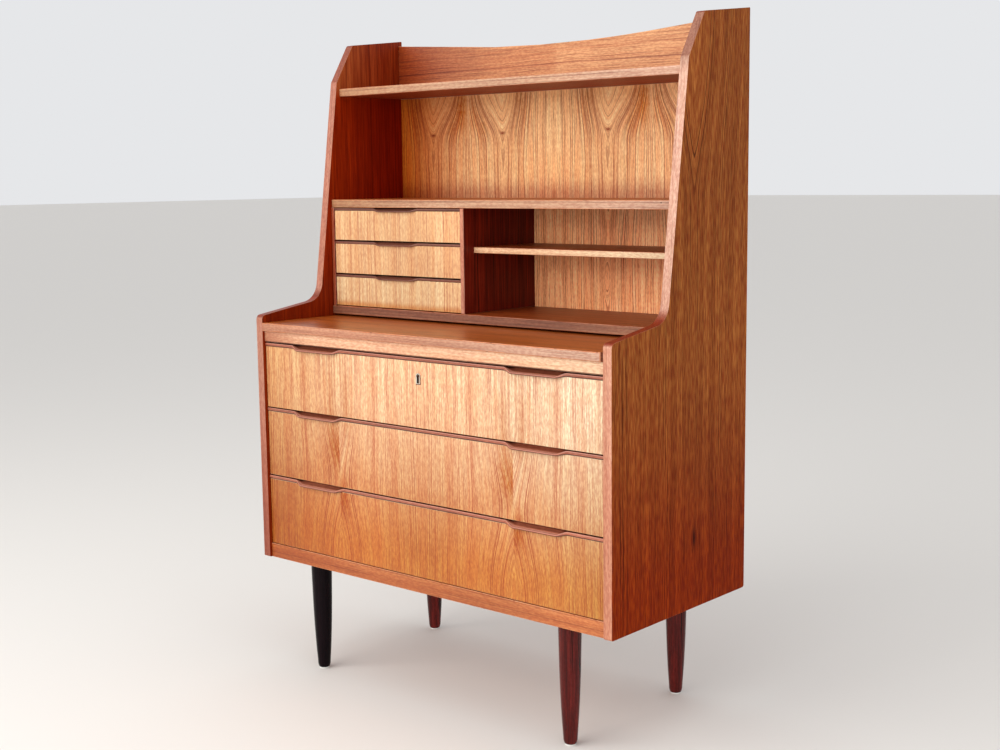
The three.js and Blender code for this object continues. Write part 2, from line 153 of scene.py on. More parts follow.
# ---------------------------------------------------------------- wood
def tint(*display):
    """A display colour (0 to 255) as linear light."""
    return tuple((c / 255 / 12.92) if c < 10.3 else ((c / 255 + 0.055) / 1.055) ** 2.4 for c in display)


def tones(light, mid, vein):
    return {"light": tint(*light), "mid": tint(*mid), "vein": tint(*vein)}


PALE_TEAK = tones((232, 200, 158), (220, 160, 116), (172, 76, 44))
SMALL_TEAK = tones((226, 187, 138), (212, 148, 95), (160, 66, 34))
GOLD_TEAK = tones((255, 210, 150), (241, 163, 105), (138, 54, 28))
CREST_TEAK = tones((224, 166, 114), (194, 122, 76), (116, 46, 22))
BROWN_TEAK = tones((173, 98, 45), (133, 62, 22), (62, 18, 4))
REAR_TEAK = tones((160, 84, 34), (120, 56, 18), (58, 20, 6))
INNER_TEAK = tones((182, 94, 46), (146, 62, 24), (70, 20, 6))
UNDER_TEAK = tones((164, 64, 28), (128, 43, 15), (62, 16, 5))
# A much darker copy of the teak for the divider and cheek faces in the hutch: painted shade.
DIVIDER_SHADE_TEAK = tones((136, 34, 14), (88, 12, 6), (18, 1, 2))
SLAB_TEAK = tones((194, 102, 38), (156, 70, 16), (76, 26, 4))
SHADED_TEAK = tones((170, 77, 23), (136, 52, 9), (66, 18, 2))
CHEEK_TEAK = tones((184, 92, 56), (146, 62, 36), (92, 34, 18))
BRIGHT_TEAK = tones((234, 194, 154), (196, 148, 110), (128, 76, 50))
PINK_TEAK = tones((210, 142, 112), (180, 110, 80), (116, 52, 34))
GREY_TEAK = tones((206, 162, 130), (170, 122, 92), (108, 62, 42))
TAN_TEAK = tones((194, 138, 108), (160, 104, 78), (100, 52, 36))
DUSKY_TEAK = tones((152, 98, 73), (114, 68, 50), (60, 30, 21))
RAIL_TEAK = tones((226, 182, 148), (204, 146, 108), (148, 80, 50))
LOW_TEAK = tones((188, 112, 64), (160, 82, 40), (104, 40, 18))
PULL_TEAK = tones((176, 100, 72), (140, 70, 46), (70, 26, 16))
# Small pulls: a darker brown than the large pulls.
SMALL_PULL_TEAK = tones((122, 70, 52), (86, 46, 34), (38, 18, 13))
ROSEWOOD = tones((112, 32, 27), (50, 9, 8), (9, 2, 2))
# A near-black copy of the rosewood for the front left leg: painted shade.
SHADED_ROSEWOOD = tones((24, 10, 15), (10, 4, 8), (3, 1, 3))
BEECH = tones((222, 190, 150), (204, 168, 126), (160, 120, 82))
# Widths and lengths of the slivers in the wood, and other sizes of its figure, in metres.
STREAK_SIZE = (0.0050, 0.20)
VEIN_SIZE = (0.012, 0.22)
FLECK_SIZE = (0.0012, 0.07)
PORE_SIZE = (0.0006, 0.014)
CLUSTER_WIDTH = 0.034
RIPPLE = 0.0016
PORE_DEPTH = 0.00010
DEPTH_SLOPE = 0.35      # how much the growth lines lean with depth
# Colours of wear and marks, and the painted highlight and painted shade of the pulls' noses.
BARE_EDGE = tint(250, 222, 190)
PAINTED_NOSE_HIGHLIGHT = tint(200, 142, 122)
PAINTED_NOSE_SHADE = tint(40, 12, 7)
SPOT = tint(40, 18, 10)


def local_shift(g, q, a, shape):
    """How strongly a shape acts at a place. A tip acts most on its centre line and a fan beside it, both
    growing from one height to another; an eye is a small oval."""
    aside = g.scaled(g.math("SUBTRACT", q, shape["at"]), 1 / shape["width"])
    if shape["kind"] == "eye":
        tall = g.scaled(g.math("SUBTRACT", a, shape["height"]), 1 / shape["length"])
        square = g.math("ADD", g.math("MULTIPLY", aside, aside), g.math("MULTIPLY", tall, tall))
        return g.math("EXPONENT", g.scaled(square, -1.0))
    away = g.math("ABSOLUTE", aside)
    near = g.math("EXPONENT", g.scaled(away, -1.0))
    if shape["kind"] == "fan":
        near = g.math("MULTIPLY", g.scaled(near, math.e), away)
    return g.math("MULTIPLY", near, g.window(a, *shape["span"]))


def fan(at, span, width, shift):
    return {"kind": "fan", "at": at, "span": span, "width": width, "shift": shift}


def tip(at, span, width, shift):
    return {"kind": "tip", "at": at, "span": span, "width": width, "shift": shift}


def eye(at, height, width, length, shift=0.0):
    return {"kind": "eye", "at": at, "height": height, "width": width, "length": length, "shift": shift}


def patches(g, where, across, along, seed, seed_along=0.0, detail=2.0):
    """Noise in soft patches, so many to the metre across the grain and along it."""
    q, a, d = where
    at = g.vector(g.scaled(q, across, seed), g.scaled(a, along, seed_along), g.scaled(d, across))
    return g.noise(at, detail=detail)


def growth(g, where, seed, heart, blunt, shapes, wave, wild):
    """A number that stays the same along one growth line: the distance from the heart, bent by the
    shapes, a wide sway and a small ripple."""
    q, a, _ = where
    ring = q
    if heart is not None:
        from_heart = g.math("SUBTRACT", q, heart)
        ring = g.math("SQRT", g.math("MULTIPLY_ADD", from_heart, from_heart, blunt ** 2))
    for shape in shapes:
        ring = g.math("MULTIPLY_ADD", local_shift(g, q, a, shape), shape["shift"], ring)
    sway = patches(g, where, 9.0, 2.6, seed, seed)
    ripple = patches(g, where, 45.0, 11.0, seed, seed)
    ring = g.math("MULTIPLY_ADD", sway, wave * wild, ring)
    return g.math("MULTIPLY_ADD", ripple, RIPPLE * wild, ring)


def tinted(g, colour, share, factors):
    """The colour, multiplied by the factors as far as the share goes."""
    return g.mix(share, colour, g.mix(1.0, colour, factors, blend="MULTIPLY"))


def spotted(g, colour, place, centre, radius):
    """The colour with one small dark mark."""
    square = 0.0
    for axis, at in zip(AXES, centre):
        apart = g.math("SUBTRACT", place[axis], at)
        square = g.math("MULTIPLY_ADD", apart, apart, square)
    return g.mix(g.window(g.math("SQRT", square), radius, radius * 0.6), colour, SPOT)


def edge_worn(g, colour, place, facing, worn, palette, seed):
    """The colour, rubbed paler on rounded edges between faces that look along the worn axes and others,
    with a few dark knocks."""
    sizes = [g.math("ABSOLUTE", facing[axis]) for axis in worn]
    if len(sizes) == 1:
        sizes.append(g.math("SQRT", g.math("SUBTRACT", 1.0, g.math("MULTIPLY", sizes[0], sizes[0]))))
    flatness = sizes[0]
    for size in sizes[1:]:
        flatness = g.math("MAXIMUM", flatness, size)
    edge = g.window(flatness, 0.985, 0.90)
    rub = g.even_noise(place, 14.0, seed, detail=4.0, roughness=0.7)
    knock = g.even_noise(place, 85.0, seed, detail=1.0)
    rubbed = g.math("MULTIPLY", edge, g.window(rub, 0.36, 0.62, 0.12, 0.62))
    knocked = g.math("MULTIPLY", edge, g.window(knock, 0.66, 0.72, 0.0, 0.8))
    colour = g.mix(rubbed, colour, g.mix(0.5, palette["light"], BARE_EDGE))
    return g.mix(knocked, colour, palette["vein"])


def painted_nose_light_and_shade(g, colour, place, facing, front):
    """The colour with a painted highlight on the rounded edge that stands out in front of a face at Y, and
    painted shade on top behind it and underneath."""
    # Painted highlight: the rounded top of the nose, just in front of the face, is tinted paler.
    rubbed = g.window(facing["Z"], 0.16, 0.62, 0.0, 0.60)
    rubbed = g.math("MULTIPLY", rubbed, g.window(place["Y"], front + 0.6 * MM, front))
    # Painted shade: darker on top behind the nose and on every face that looks down.
    behind = g.window(place["Y"], front + MM, front + 4 * MM)
    painted_shade = g.math("MULTIPLY", g.window(facing["Z"], 0.85, 0.98), behind)
    painted_shade = g.math("MAXIMUM", painted_shade, g.window(facing["Z"], -0.05, -0.32))
    return g.mix(g.scaled(painted_shade, 0.85), g.mix(rubbed, colour, PAINTED_NOSE_HIGHLIGHT), PAINTED_NOSE_SHADE)


def wood(name, palette, along, across, seed=0.0, leaf=None, seam=0.0, heart=None, blunt=0.004, shapes=(),
         knots=(), accents=(), sheen=(), stains=(), drifts=(), spots=(), wave=0.014, line=0.0042,
         band=0.026, vein=0.85, roughness=0.42, gloss=0.35, wild=1.0, fine=0.16, speck=0.0028, dash=0.0085,
         streak=0.5, mottle=0.0, calm=None, upper=None, painted_nose_front=None, worn=AXES):
    """Sliced wood. Growth lines run along one axis and follow each other across another, mirrored about
    the heart and from leaf to leaf as matched sheets of veneer are laid. Shapes bend the growth lines.
    Knots are small dark eyes, and accents are single dark growth lines: value, half width, strength and,
    if wanted, the two heights between which they appear. Fine is the contrast of the short dashes, each
    a speck wide and a dash long, and mottle is that of warmer patches. Lines fade where the growth
    lines' distance from the heart falls through the two calm values. Sheen lightens one leaf of a pair
    and darkens the other, and a stain darkens both. Drifts tint the wood along an axis, from the first
    place to the second; many of them are painted light and shade. Spots are small dark marks. Faces
    that look up take the upper tint, a painted shade. The pulls are given the Y of the face that their
    nose stands out from, and the nose takes a painted highlight and painted shade; worn gives the axes
    for edge_worn.
    is the Y of the face that a pull's nose stands out from, and worn the axes for edge_worn."""
    g = Graph(name)
    place = g.place()
    depth = next(axis for axis in AXES if axis not in (along, across))
    a, q, d = (place[axis] for axis in (along, across, depth))
    if leaf:
        q = g.math("SUBTRACT", q, seam)
        turned = g.scaled(g.math("FLOORED_MODULO", g.math("FLOOR", g.scaled(q, 1 / leaf)), 2.0), -2.0, 1.0)
        q = g.math("PINGPONG", q, leaf)
    where = (q, a, d)
    bare = growth(g, where, seed, heart, blunt, shapes, wave, wild)
    ring = g.math("ADD", bare, g.scaled(d, DEPTH_SLOPE, seed))

    def along_grain(width, length, detail=2.0):
        """Noise in slivers of a width and a length that follow the growth lines."""
        at = g.vector(g.scaled(ring, 1 / width), g.scaled(a, 1 / length, seed), g.scaled(d, 1 / width))
        return g.noise(at, detail=detail)

    bands = g.window(g.noise(g.scaled(ring, 1 / band), detail=2.0), 0.34, 0.66, 0.0, 0.55)
    streaks = g.window(along_grain(*STREAK_SIZE, detail=3.0), 0.42, 0.62, 0.0, streak)
    lines = g.window(g.noise(g.scaled(ring, 1 / line, seed), detail=2.0, roughness=0.6), 0.53, 0.63)
    clusters = g.noise(g.scaled(ring, 1 / CLUSTER_WIDTH, seed + 5.0), detail=1.0)
    veins = g.math("MULTIPLY", lines, g.window(along_grain(*VEIN_SIZE), 0.36, 0.62, 0.22, 1.0))
    veins = g.math("MULTIPLY", veins, g.window(clusters, 0.40, 0.60, 0.30, 1.15), clamp=True)
    flecks = g.window(along_grain(*FLECK_SIZE), 0.50, 0.67)
    if calm:
        still = g.window(bare, *calm, 0.10, 1.0)
        veins, flecks = (g.math("MULTIPLY", layer, still) for layer in (veins, flecks))
    at = g.vector(g.scaled(place[across], 1 / speck), g.scaled(a, 1 / dash, seed), g.scaled(d, 1 / speck))
    dashes = g.window(g.noise(at, detail=1.0), 0.36, 0.64, -fine, fine)
    pores = g.window(along_grain(*PORE_SIZE, detail=1.0), 0.58, 0.72)

    colour = g.mix(bands, palette["light"], palette["mid"])
    colour = g.mix(streaks, colour, palette["mid"])
    for layer, strength in ((flecks, 0.58 * vein), (veins, vein), (pores, 0.30)):
        colour = g.mix(g.scaled(layer, strength), colour, palette["vein"])
    for value, width, strength, *span in accents:
        near = g.math("ABSOLUTE", g.math("SUBTRACT", bare, value))
        share = g.window(near, width, width * 0.3, 0.0, strength)
        if span:
            share = g.math("MULTIPLY", share, g.window(a, *span))
        colour = g.mix(share, colour, palette["vein"])
    for knot in knots:
        colour = g.mix(local_shift(g, q, a, knot), colour, palette["vein"])

    # Each layer of shade has its own gains in red, green and blue.
    cloud = patches(g, where, 4.0, 1.6, seed)
    shade = g.window(cloud, 0.3, 0.7, 0.90, 1.06)
    shades = [g.math("MULTIPLY", shade, g.scaled(dashes, gain, 1.0)) for gain in (0.5, 1.0, 1.05)]
    if mottle:
        warmth = g.window(patches(g, where, 26.0, 15.0, seed, detail=3.0), 0.42, 0.66)
        shades = [g.math("MULTIPLY", value, g.scaled(warmth, -mottle * gain, 1.0))
                  for value, gain in zip(shades, (0.35, 1.0, 1.6))]
    for amount, shape in (*sheen, *stains):
        glow = local_shift(g, q, a, shape)
        if (amount, shape) in sheen:
            glow = g.math("MULTIPLY", glow, turned)
            glow = g.math("MINIMUM" if amount > 0 else "MAXIMUM", glow, g.scaled(glow, 0.3))
        shades = [g.math("MULTIPLY_ADD", glow, amount * gain, value)
                  for value, gain in zip(shades, (0.45, 1.0, 1.5))]
    colour = g.mix(1.0, colour, g.vector(*shades), blend="MULTIPLY")

    for axis, start, end, factors in drifts:
        colour = tinted(g, colour, g.window(place[axis], start, end), factors)
    for centre, radius in spots:
        colour = spotted(g, colour, place, centre, radius)
    facing = g.facing()
    # The upper tint darkens faces that look up: painted shade.
    if upper:
        colour = tinted(g, colour, g.window(facing["Z"], 0.20, 0.80), upper)
    if worn:
        colour = edge_worn(g, colour, place, facing, worn, palette, seed)
    # The pulls take a painted highlight on the nose and painted shade behind and under it.
    if painted_nose_front:
        colour = painted_nose_light_and_shade(g, colour, place, facing, painted_nose_front)
    height = g.math("ADD", flecks, g.math("MULTIPLY_ADD", pores, 1.4, veins))
    g.bump(g.scaled(height, -0.5), PORE_DEPTH, 0.6)
    g.shader.inputs["Specular IOR Level"].default_value = gloss
    return g.finish(colour, g.math("ADD", g.scaled(flecks, 0.08, roughness), g.scaled(cloud, 0.12, -0.06)))


def plain(name, colour, roughness, metallic=0.0, grain=0.0, scale=900.0):
    """An even finish with a fine mottle, for nylon and metal."""
    g = Graph(name)
    place = g.place()
    speck = g.even_noise(place, scale)
    tone = g.window(speck, 0.3, 0.7, 1.0 - grain, 1.0)
    mottled = g.mix(1.0, tuple(colour), g.vector(tone, tone, tone), blend="MULTIPLY")
    g.bump(speck, 0.00004, 0.4)
    return g.finish(mottled, g.scaled(speck, 0.12, roughness - 0.06), metallic)


# Grain directions: the drawers' and the back's veneer stands upright in matched leaves; rails,
# shelves and the slab have their grain along the width.
DRAWER_FIGURE = [tip(0.0, (0.425, 0.585), 0.044, -0.060), tip(0.0, (0.42, 0.27), 0.050, -0.070)]
DRAWER_SHEEN = [(0.50, eye(0.0, 0.480, 0.036, 0.050)), (-0.52, eye(0.008, 0.385, 0.022, 0.036))]
DRAWER_STAINS = [(-0.20, eye(0.022, 0.560, 0.010, 0.060)), (-0.16, eye(0.060, 0.300, 0.022, 0.040))]
# Drawer fronts: darker and more orange towards the bottom, partly the veneer's colour and partly a painted
# fall-off of light; darker to the left and paler to the right, a painted light gradient.
DRAWER_DRIFTS = [("Z", 0.66, 0.28, (0.66, 0.35, 0.10)), ("X", -0.10, -0.46, (0.78, 0.64, 0.46)),
                 ("X", 0.05, 0.45, (1.00, 1.17, 1.36))]
DRAWER_ARCS = [(value, 0.0013, 0.58) for value in (-0.034, -0.020, -0.007, 0.006, 0.022, 0.042)]
SMALL_LINES = [(value, 0.0012, 0.45) for value in (-0.372, -0.300, -0.243, -0.238, -0.196, -0.150, -0.104)]
BACK_FIGURE = [fan(0.0, (1.085, 1.215), 0.040, -0.048), tip(0.100, (1.100, 1.205), 0.026, -0.052),
               eye(0.104, 0.816, 0.011, 0.042, -0.016), eye(0.160, 1.020, 0.014, 0.070, 0.008),
               eye(0.060, 0.990, 0.010, 0.050, -0.005)]
BACK_KNOTS = [eye(0.100, 1.108, 0.0062, 0.0028)]
BACK_SHEEN = [(0.22, eye(0.0, 1.165, 0.050, 0.060))]
BACK_STAINS = [(-0.30, eye(0.018, 1.160, 0.016, 0.050)), (-0.22, eye(0.044, 1.120, 0.014, 0.040)),
               (-0.18, eye(0.150, 1.165, 0.022, 0.045))]
BACK_RAYS = [(value, 0.0040, 0.55, 1.06, 1.13) for value in (0.088, 0.070, 0.052, 0.036)]
BACK_RAYS += [(value, 0.0015, 0.55, 1.095, 1.112) for value in (0.002, -0.018)]
BACK_RAYS += [(value, 0.0011, 0.60) for value in (0.040, 0.079, 0.106, 0.111, 0.126, 0.1315)]
BACK_RAYS += [(value, 0.0009, 0.55, 0.966, 0.950)
              for value in (0.011, 0.019, 0.026, 0.035, 0.048, 0.055, 0.063, 0.085, 0.092, 0.120, 0.127)]
SIDE_FIGURE = [tip(0.032, (0.955, 1.32), 0.090, -0.120), eye(0.039, 0.362, 0.009, 0.026, -0.008)]
SIDE_KNOTS = [eye(0.039, 0.362, 0.0056, 0.021)]
SIDE_ARCS = [(0.0096, 0.0024, 0.80, 0.93, 1.06), (-0.0063, 0.0024, 0.80, 0.93, 1.02)]
SIDE_GRAIN = {"fine": 0.36, "speck": 0.0026, "dash": 0.026, "streak": 0.40}
INNER_GRAIN = {"fine": 0.20, "speck": 0.0030, "dash": 0.060, "streak": 0.70, "band": 0.018}
# Inner faces: darker towards the back, painted shade; much redder and darker below the top shelf, and darker
# and less red low down.
INNER_DRIFTS = [("Y", -0.03, 0.17, (0.70, 0.36, 0.26)), ("Z", 1.215, 1.18, (0.84, 0.28, 0.07)),
                ("Z", 0.92, 0.78, (0.70, 0.80, 1.05))]
# Faces of the lippings that look up are tinted much darker: painted shade.
TOP_FACE_SHADE = (0.44, 0.13, 0.035)
# Upright front edges: darker to the left and towards the bottom, a painted light gradient, with paler and
# darker bands at given heights.
EDGE_DRIFTS = [("Z", 0.42, 0.66, (1.04, 1.22, 1.34)), ("Z", 0.70, 0.86, (0.96, 0.82, 0.75)),
               ("X", 0.0, -0.10, (0.78, 0.72, 0.75)), ("Z", 0.62, 0.26, (0.60, 0.38, 0.32))]
RIGHT_EDGE_DRIFTS = [("Z", 0.42, 0.66, (1.04, 1.22, 1.34)), ("Z", 0.70, 0.86, (1.05, 1.24, 1.36)),
                     ("Z", 1.19, 1.22, (0.74, 0.72, 0.70))]
UPRIGHT = {"along": "Z", "across": "Y"}
FACING = {"along": "Z", "across": "X"}
LENGTHWISE = {"along": "X", "across": "Z"}
FLAT = {"along": "X", "across": "Y"}
DEEP = {"along": "Y", "across": "X"}
LIPPING = {"wave": 0.004, "line": 0.003, "vein": 0.5, "wild": 0.5}
ESCUTCHEON = {"half": 0.0062, "border": 0.0010, "foot": 0.6326, "eye": 0.6486, "hole": 0.0040,
              "slot": 0.0031, "slot_foot": 0.6352}
FRONT_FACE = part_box("top_drawer_front")[0].y
RAIL_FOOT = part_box("upper_rail")[0].z
SHELF_FOOT, SHELF_TOP = (corner.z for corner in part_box("middle_shelf"))
SMALL_FOOT, SMALL_TOP = (corner.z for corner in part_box("small_bottom_drawer_front"))
# Back panel: darker and redder at its left end, a painted shadow of the left side; paler to the right, a
# painted light gradient; darker just above the middle shelf, painted shade; brighter in the cubby below the
# shelf, painted light.
BACK_DRIFTS = [("X", -0.16, -0.44, (0.60, 0.24, 0.04)), ("X", 0.05, 0.40, (1.15, 1.20, 1.28)),
               ("Z", SHELF_TOP + 0.052, SHELF_TOP + 0.004, (0.66, 0.50, 0.50)),
               ("Z", SHELF_TOP, SHELF_FOOT, (1.86, 2.04, 2.00))]


def escutcheon_metal():
    """Whitish metal with a painted shadow line in brown along its right edge and its foot, and painted
    near black round the keyhole and down its slot, wider than the hole: painted shade of the hole."""
    g = Graph("escutcheon_metal")
    place = g.place()
    inner, border = ESCUTCHEON["half"] - ESCUTCHEON["border"], ESCUTCHEON["border"]
    # Painted shadow: a brown line along the plate's right edge and its foot.
    right = g.window(place["X"], inner - border * 0.4, inner)
    foot = g.window(place["Z"], ESCUTCHEON["foot"] + border * 1.4, ESCUTCHEON["foot"] + border)
    rim = g.math("MAXIMUM", right, foot)
    speck = g.even_noise(place, 700.0)
    colour = g.mix(g.window(speck, 0.4, 0.8, 0.0, 0.3), (0.66, 0.58, 0.47), (0.36, 0.27, 0.18))
    colour = g.mix(rim, colour, tint(96, 50, 32))
    above = g.math("SUBTRACT", place["Z"], ESCUTCHEON["eye"])
    apart = g.math("SQRT", g.math("MULTIPLY_ADD", above, above, g.math("MULTIPLY", place["X"], place["X"])))
    aside = g.math("ABSOLUTE", place["X"])
    # Painted shade: the keyhole and its slot are painted near black, a little wider than the hole.
    hole_shade = g.window(apart, ESCUTCHEON["hole"], ESCUTCHEON["hole"] - 0.3 * MM)
    slot = g.window(aside, ESCUTCHEON["slot"], ESCUTCHEON["slot"] - 0.3 * MM)
    for level, edge in ((ESCUTCHEON["slot_foot"], 0.3 * MM), (ESCUTCHEON["eye"], -0.3 * MM)):
        slot = g.math("MULTIPLY", slot, g.window(place["Z"], level - edge, level))
    colour = g.mix(g.math("MAXIMUM", hole_shade, slot), colour, tint(10, 7, 6))
    return g.finish(colour, g.scaled(speck, 0.2, 0.3), 0.6)


LOOKS = {
    "escutcheon": escutcheon_metal(),
    "front": wood("teak_front", PALE_TEAK, **FACING, seed=3.1, leaf=0.2265, seam=-0.222,
                  shapes=DRAWER_FIGURE, sheen=DRAWER_SHEEN, stains=DRAWER_STAINS, drifts=DRAWER_DRIFTS,
                  accents=DRAWER_ARCS, line=0.0034, vein=0.80, fine=0.19, speck=0.0021, mottle=0.08),
    "small_front": wood("teak_small_front", SMALL_TEAK, **FACING, seed=8.4, fine=0.16, speck=0.0021,
                        streak=0.45, vein=0.6, accents=SMALL_LINES,
                        drifts=[("Z", SMALL_TOP + 3 * MM, SMALL_TOP, (1.04, 1.20, 1.30)),
                                ("Z", SMALL_FOOT + 16 * MM, SMALL_FOOT + 2 * MM, (0.80, 0.56, 0.36))]),
    "side": wood("teak_side", BROWN_TEAK, **UPRIGHT, worn="X", seed=5.6, heart=0.032,
                 shapes=SIDE_FIGURE, knots=SIDE_KNOTS, accents=SIDE_ARCS, calm=(0.010, 0.022),
                 gloss=0.03, roughness=0.46, vein=0.8, band=0.020, **SIDE_GRAIN,
                 drifts=[("Z", 0.74, 0.25, (0.76, 0.27, 0.03))]),
    "side_inner": wood("teak_side_inner", INNER_TEAK, **UPRIGHT, worn="X", seed=11.3, gloss=0.08, vein=0.5,
                       **INNER_GRAIN, drifts=INNER_DRIFTS),
    # The divider's and the cheek's broad faces take the darker copy of the teak: painted shade.
    "divider": wood("teak_divider_shaded", DIVIDER_SHADE_TEAK, **UPRIGHT, seed=14.2, gloss=0.14, vein=0.9, **INNER_GRAIN),
    "back": wood("teak_back", GOLD_TEAK, **FACING, seed=21.7, leaf=0.2385, seam=-0.240, heart=0.100,
                 blunt=0.008, calm=(0.000, 0.026), wild=2.1, shapes=BACK_FIGURE, knots=BACK_KNOTS,
                 sheen=BACK_SHEEN, stains=BACK_STAINS, accents=BACK_RAYS, drifts=BACK_DRIFTS,
                 vein=0.90, line=0.0032, band=0.018, gloss=0.16, fine=0.17, speck=0.0020, mottle=0.08),
    "edge_up": wood("teak_edge_up", PINK_TEAK, **FACING, worn="X", seed=2.2, upper=TOP_FACE_SHADE,
                    drifts=EDGE_DRIFTS, **LIPPING),
    "edge_right": wood("teak_edge_right", PINK_TEAK, **FACING, worn="X", seed=2.2, upper=TOP_FACE_SHADE,
                       drifts=RIGHT_EDGE_DRIFTS, **LIPPING),
    "edge_back": wood("teak_edge_back", PINK_TEAK, **DEEP, seed=2.9, upper=TOP_FACE_SHADE, worn="X", **LIPPING),
    # The edge looks below grow paler to the right, and the first also darker to the left: a painted light
    # gradient.
    "edge": wood("teak_edge", GREY_TEAK, **LENGTHWISE, seed=7.7, spots=[((0.414, -0.010, 0.968), 0.0016)],
                 drifts=[("X", -0.10, -0.42, (0.86, 0.76, 0.62)), ("X", 0.10, 0.42, (1.08, 1.12, 1.28))],
                 **LIPPING),
    "edge_cubby": wood("teak_edge_cubby", BRIGHT_TEAK, **LENGTHWISE, seed=7.9,
                       drifts=[("X", 0.05, 0.40, (1.12, 1.34, 1.46))], **LIPPING),
    "edge_cheek": wood("teak_edge_cheek", CHEEK_TEAK, **FACING, seed=2.6, **LIPPING),
    "edge_slab": wood("teak_edge_slab", TAN_TEAK, **LENGTHWISE, seed=7.4,
                      drifts=[("X", -0.05, 0.42, (1.14, 1.50, 1.80))], **LIPPING),
    "edge_dusky": wood("teak_edge_dusky", DUSKY_TEAK, **LENGTHWISE, seed=7.1,
                       drifts=[("X", 0.10, 0.42, (1.40, 1.60, 1.60))], **LIPPING),
    # Rail: darker to the left and paler to the right, a painted light gradient, and a painted shadow line
    # along its foot.
    "rail": wood("teak_rail", RAIL_TEAK, **LENGTHWISE, seed=9.9, **LIPPING,
                 drifts=[("X", -0.05, 0.44, (1.05, 1.20, 1.24)), ("X", -0.28, -0.43, (0.64, 0.47, 0.42)),
                         ("Z", RAIL_FOOT + 2.6 * MM, RAIL_FOOT + 1.2 * MM, (0.20, 0.10, 0.07))]),
    # Plinth rail: darker to the left and paler to the right, a painted light gradient.
    "low_rail": wood("teak_low_rail", LOW_TEAK, **LENGTHWISE, seed=5.2, **LIPPING,
                     drifts=[("X", -0.10, -0.44, (0.80, 0.64, 0.44)), ("X", 0.10, 0.45, (1.18, 1.26, 1.34))]),
    # Crest: darker and much redder towards its left end, a painted shadow; its tone steps at a leaf seam near
    # the middle.
    "crest": wood("teak_crest", CREST_TEAK, **LENGTHWISE, seed=17.5, vein=0.85, band=0.03, streak=0.5,
                  drifts=[("X", 0.016, 0.0, (0.88, 0.76, 0.70)), ("X", -0.08, -0.46, (0.50, 0.18, 0.06))]),
    "flat": wood("teak_flat", SLAB_TEAK, **FLAT, seed=13.8),
    "flat_shaded": wood("teak_flat_shaded", SHADED_TEAK, **FLAT, seed=13.8),
    "under": wood("teak_under", UNDER_TEAK, **FLAT, seed=13.2, roughness=0.5, gloss=0.2),
    "slab": wood("teak_slab", SLAB_TEAK, **FLAT, seed=31.0, roughness=0.30, gloss=0.5),
    "pull": wood("teak_pull", PULL_TEAK, **LENGTHWISE, seed=6.1, painted_nose_front=FRONT_FACE, worn="",
                 roughness=0.34, gloss=0.5, **LIPPING),
    "dark_pull": wood("teak_dark_pull", SMALL_PULL_TEAK, **LENGTHWISE, seed=6.8, worn="", **LIPPING),
    "leg": wood("rosewood_leg", ROSEWOOD, **FACING, seed=4.4, wave=0.008, line=0.003,
                roughness=0.20, gloss=0.17, worn=""),
    # The front left leg's look, a near-black copy of the leg: painted shade.
    "leg_shaded": wood("rosewood_leg_shaded", SHADED_ROSEWOOD, **FACING, seed=4.9, wave=0.008, line=0.003,
                      roughness=0.24, gloss=0.08, worn=""),
    "beech": wood("beech_inside", BEECH, **DEEP, seed=1.2, vein=0.3, wave=0.008, roughness=0.6),
    "beech_wide": wood("beech_inside_wide", BEECH, **LENGTHWISE, seed=1.9, vein=0.3, wave=0.008,
                       roughness=0.6),
    "rear_upper": wood("rear_veneer_upper", BROWN_TEAK, **LENGTHWISE, seed=27.1, vein=0.4, roughness=0.7,
                       leaf=0.31, seam=0.97, mottle=0.10),
    "rear_lower": wood("rear_veneer_lower", REAR_TEAK, **LENGTHWISE, seed=41.6, vein=0.5, roughness=0.7,
                       leaf=0.28, seam=0.32, mottle=0.10),
    "underneath": wood("teak_underneath", BROWN_TEAK, **FLAT, seed=37.2, vein=0.4, roughness=0.7),
    "nylon": plain("nylon_glide", (0.82, 0.81, 0.77), 0.45, grain=0.06),
    "steel": plain("lock_steel", (0.42, 0.41, 0.39), 0.38, metallic=1.0, grain=0.25),
    "keyhole": plain("keyhole_dark", (0.006, 0.005, 0.005), 0.7, grain=0.3),
}


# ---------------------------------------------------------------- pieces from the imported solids
SOFT_EDGE = 0.9 * MM
# Sizes of the screws in the back panels, in mm.
SCREW = {"radius": 3.6, "height": 0.6, "base": 0.25, "slot": 0.45, "inset": 11.0, "spacing": 150.0}
SCREW_TURNS = (20.0, 57.0)  # the first slot's turn and each next one's step, in degrees
SHARP_ANGLE = math.radians(28)
FLAT_ANGLE = math.radians(2)
body_of_node = {n: b for b, nodes in frame["record"]["behaviour"]["bodies"].items() for n in nodes}


def adopt(piece, node):
    """The piece moves with the node's body and stands for the node."""
    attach(piece, body_of_node[node])
    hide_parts(node)
    return piece


def new_object(name, mesh, looks):
    piece = bpy.data.objects.new(name, mesh)
    for look in looks:
        mesh.materials.append(LOOKS[look])
    bpy.context.scene.collection.objects.link(piece)
    return piece


def keep_flats_flat(piece):
    weighted = piece.modifiers.new("flat_faces", "WEIGHTED_NORMAL")
    weighted.keep_sharp = True


